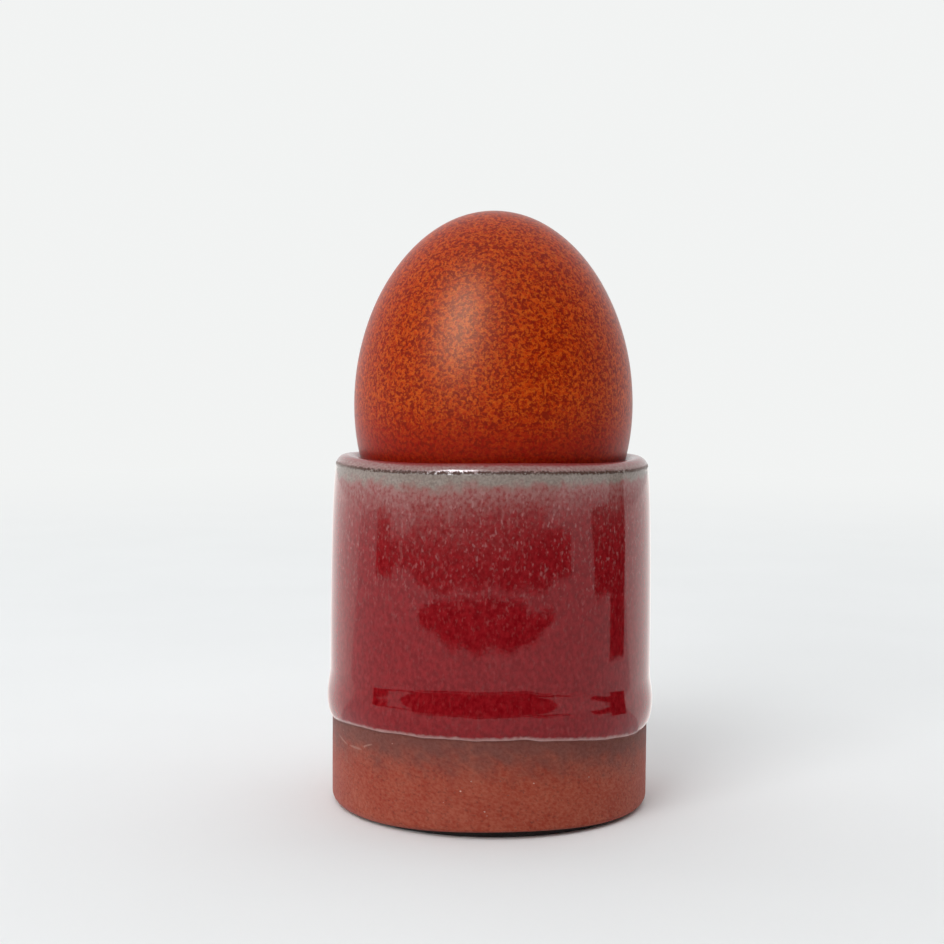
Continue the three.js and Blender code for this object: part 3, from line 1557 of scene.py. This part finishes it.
    def measure(self) -> dict[Attribute, np.ndarray]:
        """Works out the radius and height of every ring, and what the finishes measure.

        Returns:
            The measurements, one for each ring and column.
        """
        clay = self.clay_section()
        section = np.array(clay + self.glaze_section())
        self.rings_of_clay = len(clay)
        arris_height = self.lip_height - self.arris_drop * self.lip_rise
        lip_row = int(np.argmax(section[:, 1]))
        arris_row = int(np.argmin(np.abs(section[:lip_row, 1] - arris_height)))
        steps = np.hypot(*np.diff(section, axis=0).T)
        run = np.concatenate([[0.0], np.cumsum(steps)])
        below = run[arris_row] - run
        edge, wave = self.edge(), self.lip_wave()
        roll_top = self.edge_height + self.roll_span
        radii, heights = [], []
        for row, (radius, height) in enumerate(section):
            outside = row <= lip_row
            sag = self._blend(height, self.foot_rounding, self.edge_height - self.sag_start)
            sag *= 1 - self._blend(height, roll_top, 2 * roll_top)
            near_lip = self._blend(
                height, self.lip_height - self.lip_wave_reach, self.lip_height
            )
            moved = height + wave * near_lip
            if outside:
                moved = moved + sag * (edge - self.edge_height) + self.foot_gap(radius, height)
            ring = np.full(self.columns, radius)
            if radius > 0:
                ring = ring + self._relief(row, radius, height, below[row], outside)
            radii.append(ring)
            heights.append(moved)
        self.profile = [np.array(radii), np.array(heights)]
        above = self.profile[1] - edge
        above[lip_row:] = self.lip_height
        return {
            Attribute.ABOVE_EDGE: above,
            Attribute.BELOW_ARRIS: np.repeat(below[:, None], self.columns, axis=1),
        }

    @staticmethod
    def _blend(value: float, low: float, high: float) -> float:
        """Rises smoothly from 0 at low to 1 at high."""
        share = min(max((value - low) / (high - low), 0.0), 1.0)
        return share * share * (3 - 2 * share)

    def _relief(
        self, row: int, radius: float, height: float, below: float, outside: bool
    ) -> np.ndarray:
        """Works out the small unevenness of one ring.

        Args:
            row: The ring's number.
            radius: Its radius.
            height: Its height.
            below: How far it is below the lip's arris.
            outside: True on the outer wall.

        Returns:
            How far each column moves outwards.
        """
        relief = np.zeros(self.columns)
        if not outside or height < self.foot_rounding:
            return relief
        if row < self.rings_of_clay:
            marks = self.turning_marks
            mark = noise.noise(Vector((0.0, marks.seed, height / marks.size)))
            return relief + marks.height * mark
        fade_in = self._blend(height, self.edge_height, self.edge_height + self.roll_height)
        relief += fade_in * self.rippled(radius, height * self.wall_stretch, self.wall_ripples)
        near_arris = math.exp(-((below / self.arris_width) ** 2))
        if near_arris > NEGLIGIBLE_SHARE:
            relief += near_arris * self.rippled(radius, height, [self.arris_ripple])
        return relief

    def mesh(self) -> bpy.types.Mesh:
        """Makes the cup's mesh, closed at both poles.

        Returns:
            The mesh, with the finishes' measurements on it.
        """
        measured = self.measure()
        radii, heights = self.profile
        inner = slice(1, len(radii) - 1)
        ring_count = len(radii) - 2
        x = radii[inner] * np.cos(self.angles)
        y = radii[inner] * np.sin(self.angles)
        points = np.stack([x, y, heights[inner]], axis=-1).reshape(-1, 3)
        base = len(points)
        poles = [[0.0, 0.0, 0.0], [0.0, 0.0, self.well_floor]]
        points = np.concatenate([points, poles])
        faces, surfaces = [], []
        for ring in range(ring_count - 1):
            surface = Surface.CLAY if ring + 1 < self.rings_of_clay else Surface.GLAZE
            for column in range(self.columns):
                following = (column + 1) % self.columns
                first, above = ring * self.columns, (ring + 1) * self.columns
                corners = (first + column, first + following, above + following, above + column)
                faces.append(corners)
                surfaces.append(surface.value)
        last = (ring_count - 1) * self.columns
        for column in range(self.columns):
            following = (column + 1) % self.columns
            faces.append((base, following, column))
            surfaces.append(Surface.CLAY.value)
            faces.append((last + column, last + following, base + 1))
            surfaces.append(Surface.GLAZE.value)
        mesh = bpy.data.meshes.new("egg_cup_body")
        mesh.from_pydata(points.tolist(), [], faces)
        mesh.polygons.foreach_set("material_index", surfaces)
        mesh.polygons.foreach_set("use_smooth", [True] * len(faces))
        for attribute, values in measured.items():
            layer = mesh.attributes.new(attribute.value, "FLOAT", "POINT")
            flat = np.concatenate([values[inner].reshape(-1), values[0, :1], values[-1, :1]])
            layer.data.foreach_set("value", flat.astype(np.float32))
        mesh.update()
        return mesh

    def placed(self, mark: Mark) -> tuple[Vector, Vector]:
        """Finds a mark's place on the bare clay.

        Args:
            mark: The mark, placed by its angle round the foot.

        Returns:
            Its centre, and the direction that it runs in.
        """
        angle, tilt = math.radians(mark.sideways), math.radians(mark.tilt)
        out = Vector((math.cos(angle), math.sin(angle), 0.0))
        right = Vector((-out.y, out.x, 0.0))
        centre = out * self.foot_radius + Vector((0.0, 0.0, mark.height))
        return centre, right * math.cos(tilt) + Vector((0.0, 0.0, math.sin(tilt)))

    def build(self, clay: bpy.types.Material, glaze: bpy.types.Material) -> bpy.types.Object:
        """Makes the cup.

        Args:
            clay: The bare clay's finish.
            glaze: The glaze's finish.

        Returns:
            The piece.
        """
        piece = mesh_object("stoneware_cup", self.mesh())
        piece.data.materials.append(clay)
        piece.data.materials.append(glaze)
        return piece


@dataclass
class FootGrains:
    """Grains that show in the bare clay, scattered over the foot's wall."""

    name: str
    per_square_metre: float
    size: float
    seed: int
    breadth: float = 0.7
    depth: float = 0.35
    smallest: float = 0.45
    below_edge: float = 0.6 * MM

    def tree(self) -> bpy.types.NodeTree:
        """Builds the geometry nodes that scatter the grains over the clay.

        Returns:
            The tree, with the grains' sizes as its inputs.
        """
        tree = bpy.data.node_groups.new("Scattered grains", "GeometryNodeTree")
        interface = Interface(tree)
        interface.socket("Geometry", "Geometry")
        for name in ("Density", "Size", "Smallest", "Breadth", "Depth", "Lowest", "Below Edge"):
            interface.socket(name, "Float")
        interface.socket("Seed", "Int")
        interface.socket("Grain", "Material")
        interface.socket("Geometry", "Geometry", output=True)
        graph = Graph(tree)
        given = graph.add("NodeGroupInput").outputs
        above = graph.add("GeometryNodeInputNamedAttribute", {"Name": Attribute.ABOVE_EDGE.value})
        place = graph.add("GeometryNodeInputPosition").outputs[0]
        height = graph.add("ShaderNodeSeparateXYZ", {"Vector": place})
        highest = graph.math("MULTIPLY", given["Below Edge"], -1.0)
        clear = graph.math("LESS_THAN", above.outputs[0], highest)
        lifted = graph.math("GREATER_THAN", height.outputs["Z"], given["Lowest"])
        points = graph.add(
            "GeometryNodeDistributePointsOnFaces",
            {
                "Mesh": given["Geometry"],
                "Selection": graph.math("MULTIPLY", clear, lifted),
                "Density": given["Density"],
                "Seed": given["Seed"],
            },
        )
        grain = graph.add("GeometryNodeMeshIcoSphere", {"Radius": 0.5, "Subdivisions": 2})
        pick = graph.add("FunctionNodeRandomValue", data_type="FLOAT")
        limits = {"Min": given["Smallest"], "Max": 1.0, "Seed": given["Seed"]}
        for socket in (s for s in pick.inputs if s.enabled and s.name in limits):
            graph.feed(socket, limits[socket.name])
        drawn = next(s for s in pick.outputs if s.enabled)
        size = graph.math("MULTIPLY", drawn, given["Size"])
        scale = graph.add(
            "ShaderNodeCombineXYZ",
            {
                "X": size,
                "Y": graph.math("MULTIPLY", size, given["Breadth"]),
                "Z": graph.math("MULTIPLY", size, given["Depth"]),
            },
        )
        placed = graph.add(
            "GeometryNodeInstanceOnPoints",
            {
                "Points": points.outputs["Points"],
                "Instance": grain.outputs["Mesh"],
                "Rotation": points.outputs["Rotation"],
                "Scale": scale.outputs[0],
            },
        )
        end_tree(graph, placed.outputs[0], given["Grain"])
        return tree

    def build(
        self, cup: EggCup, surface: bpy.types.Mesh, finish: bpy.types.Material
    ) -> bpy.types.Object:
        """Makes the grains.

        Args:
            cup: The cup, for the size of its foot.
            surface: The cup's mesh, whose clay they lie in.
            finish: Their finish.

        Returns:
            The piece.
        """
        values = {
            "Density": self.per_square_metre,
            "Size": self.size,
            "Smallest": self.smallest,
            "Breadth": self.breadth,
            "Depth": self.depth,
            "Lowest": cup.foot_rounding,
            "Below Edge": self.below_edge,
            "Seed": self.seed,
            "Grain": finish,
        }
        return grown(self.name, self.tree(), values, surface)


# ------------------------------------------------------------------------------ studio


@dataclass(frozen=True)
class Viewpoint:
    """Where the camera stands and how it looks at the object."""

    distance: float = 255.3 * MM
    sideways: float = -3.11 * MM
    height: float = 68.9 * MM
    look_down: float = 3.822
    lean: float = 0.475
    lens: float = 61.7
    sensor: float = 36.0

    def build(self) -> bpy.types.Object:
        """Makes the camera and gives it to the scene.

        Returns:
            The camera.
        """
        data = bpy.data.cameras.new("camera")
        data.lens = self.lens
        data.sensor_width = self.sensor
        data.clip_start = 10 * MM
        camera = bpy.data.objects.new("camera", data)
        bpy.context.scene.collection.objects.link(camera)
        level = Matrix.Rotation(math.radians(90 - self.look_down), 4, "X")
        rolled = Matrix.Rotation(math.radians(self.lean), 4, "Z")
        place = Matrix.Translation((self.sideways, -self.distance, self.height))
        camera.matrix_world = place @ level @ rolled
        bpy.context.scene.camera = camera
        return camera


class Reach(Enum):
    """What a light acts on: all surfaces, or only their matt or only their glossy part."""

    ALL = "all"
    MATT = "matt"
    GLOSSY = "glossy"


@dataclass(frozen=True)
class SoftBox:
    """A soft rectangular light that faces the object from a direction."""

    name: str
    azimuth: float
    elevation: float
    distance: float
    width: float
    height: float
    power: float
    reach: Reach = Reach.ALL
    colour: Colour = (1.0, 1.0, 1.0)

    def build(self, target: Vector) -> bpy.types.Object:
        """Makes the light.

        Args:
            target: What it faces.

        Returns:
            The light.
        """
        data = bpy.data.lights.new(self.name, "AREA")
        data.shape = "RECTANGLE"
        data.size = self.width
        data.size_y = self.height
        data.energy = self.power
        data.color = self.colour
        light = bpy.data.objects.new(self.name, data)
        bpy.context.scene.collection.objects.link(light)
        turn, rise = math.radians(self.azimuth), math.radians(self.elevation)
        level = Vector((math.sin(turn), -math.cos(turn), 0.0))
        back = level * math.cos(rise) + Vector((0.0, 0.0, math.sin(rise)))
        light.location = target + back * self.distance
        light.rotation_mode = "QUATERNION"
        light.rotation_quaternion = back.to_track_quat("Z", "Y")
        light.visible_diffuse = self.reach is not Reach.GLOSSY
        light.visible_glossy = self.reach is not Reach.MATT
        return light


class Outline(Enum):
    """The outline of a card, seen along its width."""

    SQUARE = "square"
    ROUNDED = "rounded"
    OVAL = "oval"

    def opening(self, across: float) -> float:
        """Works out how far apart the card's long edges are.

        Args:
            across: A place across the card, from -1 to 1.

        Returns:
            The share of the full opening there.
        """
        bluntness = {Outline.SQUARE: None, Outline.ROUNDED: 6.0, Outline.OVAL: 2.0}[self]
        if bluntness is None:
            return 1.0
        return max(1 - abs(across) ** bluntness, 0.0) ** (1 / bluntness)


@dataclass(frozen=True)
class Card:
    """A card bent round the object, which shows only as a reflection in what is glossy.

    Its two long edges run from one azimuth to another, each at a radius and a height.
    """

    name: str
    start: float
    stop: float
    near: tuple[float, float]
    far: tuple[float, float]
    outline: Outline = Outline.SQUARE
    ripples: float = 0.0
    ripple_depth: float = 0.0
    flags_light: bool = False
    pale: bool = False

    def build(self, finish: bpy.types.Material) -> bpy.types.Object:
        """Makes the card.

        Args:
            finish: Its finish.

        Returns:
            The card, which the camera and plain surfaces don't see.
        """
        steps = 64
        edges: tuple[list, list] = ([], [])
        middle = [(n + f) / 2 for n, f in zip(self.near, self.far)]
        for i in range(steps + 1):
            across = 2 * i / steps - 1
            angle = math.radians(self.start + (self.stop - self.start) * i / steps)
            open_share = self.outline.opening(across)
            ripple = self.ripple_depth * open_share * math.sin(self.ripples * math.pi * across)
            for edge, (radius, height) in zip(edges, (self.near, self.far)):
                reach = middle[0] + (radius - middle[0]) * open_share + ripple
                rise = middle[1] + (height - middle[1]) * open_share
                edge.append((reach * math.sin(angle), -reach * math.cos(angle), rise))
        faces = [(i, i + 1, steps + 2 + i, steps + 1 + i) for i in range(steps)]
        mesh = bpy.data.meshes.new(self.name)
        mesh.from_pydata(edges[0] + edges[1], [], faces)
        mesh.materials.append(finish)
        card = mesh_object(self.name, mesh)
        card.visible_camera = False
        card.visible_diffuse = self.flags_light
        card.visible_shadow = False
        card.visible_transmission = False
        return card


@dataclass
class Studio:
    """The floor, the lights and the surroundings."""

    target: Vector
    floor_radius: float = 4.0
    fill: Colour = (0.98, 0.98, 0.98)
    reflected: Colour = (0.95, 0.95, 0.95)
    backdrop: Colour = (0.886, 0.898, 0.892)
    floor: Colour = (0.865, 0.885, 0.892)
    dark: Colour = (0.012, 0.011, 0.011)
    softboxes: tuple[SoftBox, ...] = (
        SoftBox("window", -33.0, 38.0, 1.2, 0.60, 1.13, 7.6),
        SoftBox(
            "window glare", -34.0, 37.5, 1.15, 0.38, 0.72, 37.0, Reach.GLOSSY, (1.0, 1.0, 1.06)
        ),
        SoftBox("left side", -84.0, 9.0, 1.25, 1.1, 0.38, 1.8, Reach.MATT),
    )
    cards: tuple[Card, ...] = (
        Card("room front", -80.0, 60.0, (1.3, -0.1), (1.3, 0.9), Outline.OVAL, flags_light=True),
        Card("room above", -106.0, 64.0, (1.3, 0.4), (1.3, 1.4), flags_light=True),
        Card("room left", -106.0, -64.0, (1.35, 0.2), (1.35, 1.4), flags_light=True),
        Card("room right", 50.0, 88.0, (1.35, 0.2), (1.35, 1.4), flags_light=True),
        Card("room right far", 88.0, 104.0, (1.35, 0.2), (1.35, 1.4)),
        Card("room ceiling", -106.0, 64.0, (0.05, 1.4), (1.3, 1.4)),
        Card("table edge", -58.0, 50.0, (0.340, 0.001), (1.3, 0.001), Outline.ROUNDED, 5.0, 0.012),
        Card(
            "table edge left", -72.0, -50.0, (0.42, 0.002), (0.75, 0.002), Outline.SQUARE, 3.0, 0.015
        ),
        Card(
            "table edge right", 40.0, 56.0, (0.38, 0.002), (0.85, 0.002), Outline.SQUARE, 3.0, 0.010
        ),
        Card("near shadow", -51.0, 43.0, (0.184, 0.001), (0.308, 0.001), Outline.OVAL, 5.0, 0.006),
        Card("left block", -87.0, -71.0, (0.350, 0.003), (0.62, 0.003)),
        Card("left block face", -87.0, -75.0, (0.62, 0.0), (0.62, 0.035)),
        Card("right strip", 74.5, 102.0, (0.285, 0.002), (3.5, 0.002)),
        Card("right post", 85.0, 101.0, (0.158, 0.0), (0.158, 0.30)),
        Card("lit wall", 106.0, 254.0, (0.04, 0.001), (1.2, 0.001), pale=True),
    )

    def build(self) -> list[bpy.types.Object]:
        """Makes the studio.

        Returns:
            The objects that are not part of the egg and its cup.
        """
        self._surroundings()
        for box in self.softboxes:
            box.build(self.target)
        pale = SweepFinish("pale floor", colour=self.floor, backdrop=self.backdrop).build()
        dark = PlainFinish("dark card", colour=self.dark).build()
        glowing = GlowFinish("lit wall").build()
        cards = (card.build(glowing if card.pale else dark) for card in self.cards)
        return [self._floor(pale), *cards]

    def _floor(self, finish: bpy.types.Material) -> bpy.types.Object:
        """Makes the round floor.

        Args:
            finish: Its finish.

        Returns:
            The floor.
        """
        steps = 96
        turns = [2 * math.pi * i / steps for i in range(steps)]
        rim = [Vector((math.cos(turn), math.sin(turn), 0.0)) * self.floor_radius for turn in turns]
        mesh = bpy.data.meshes.new("floor")
        mesh.from_pydata(rim, [], [tuple(range(steps))])
        mesh.materials.append(finish)
        return mesh_object("floor", mesh)

    def _surroundings(self) -> None:
        """Lights the scene from all round, and shows a pale backdrop to the camera."""
        world = bpy.data.worlds.new("studio")
        world.use_nodes = True
        bpy.context.scene.world = world
        graph = Graph(world.node_tree)
        shader = world.node_tree.nodes["Background"]
        path = graph.add("ShaderNodeLightPath").outputs
        light = graph.mix(path["Is Glossy Ray"], self.fill, self.reflected)
        graph.feed(shader.inputs["Color"], graph.mix(path["Is Camera Ray"], light, self.backdrop))


def main() -> None:
    """Builds the camera, the egg, the cup and the studio, and ties each piece to its part."""
    logging.basicConfig(level=logging.INFO, format="%(message)s")
    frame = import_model()
    cad_low, cad_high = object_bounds()
    Viewpoint().build()
    scene = bpy.context.scene
    scene.view_settings.view_transform = "Standard"
    LOG.info("frame: %s", ", ".join(sorted(frame["nodes"])))

    effects = Effects()
    egg = EggShell(*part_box("egg"))
    cup = EggCup(*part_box("egg_cup"))

    shell = egg.build(EggshellFinish().build(effects, egg))
    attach(shell, "root")
    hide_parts("egg")
    LOG.info("egg: %d faces", len(shell.data.polygons))

    clay = ClayFinish().build(effects, cup)
    body = cup.build(clay, GlazeFinish().build(effects))
    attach(body, "root")
    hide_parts("egg_cup")
    LOG.info("cup: %d faces", len(body.data.polygons))

    pale_grog = FootGrains("pale_grog", per_square_metre=22_000, size=0.30 * MM, seed=4)
    flecks = FootGrains("iron_flecks", per_square_metre=80_000, size=0.21 * MM, seed=11, depth=0.2)
    iron = GrainFinish("iron fleck", light=(0.20, 0.055, 0.035), dark=(0.10, 0.03, 0.02))
    for scatter, finish in ((pale_grog, GrainFinish("pale grog")), (flecks, iron)):
        piece = scatter.build(cup, body.data.copy(), finish.build())
        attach(piece, "root")
        LOG.info("%s: %d faces", scatter.name, len(piece.data.polygons))

    middle = (cad_low + cad_high) / 2
    for stage_piece in Studio(middle).build():
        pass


if __name__ == "__main__":
    main()
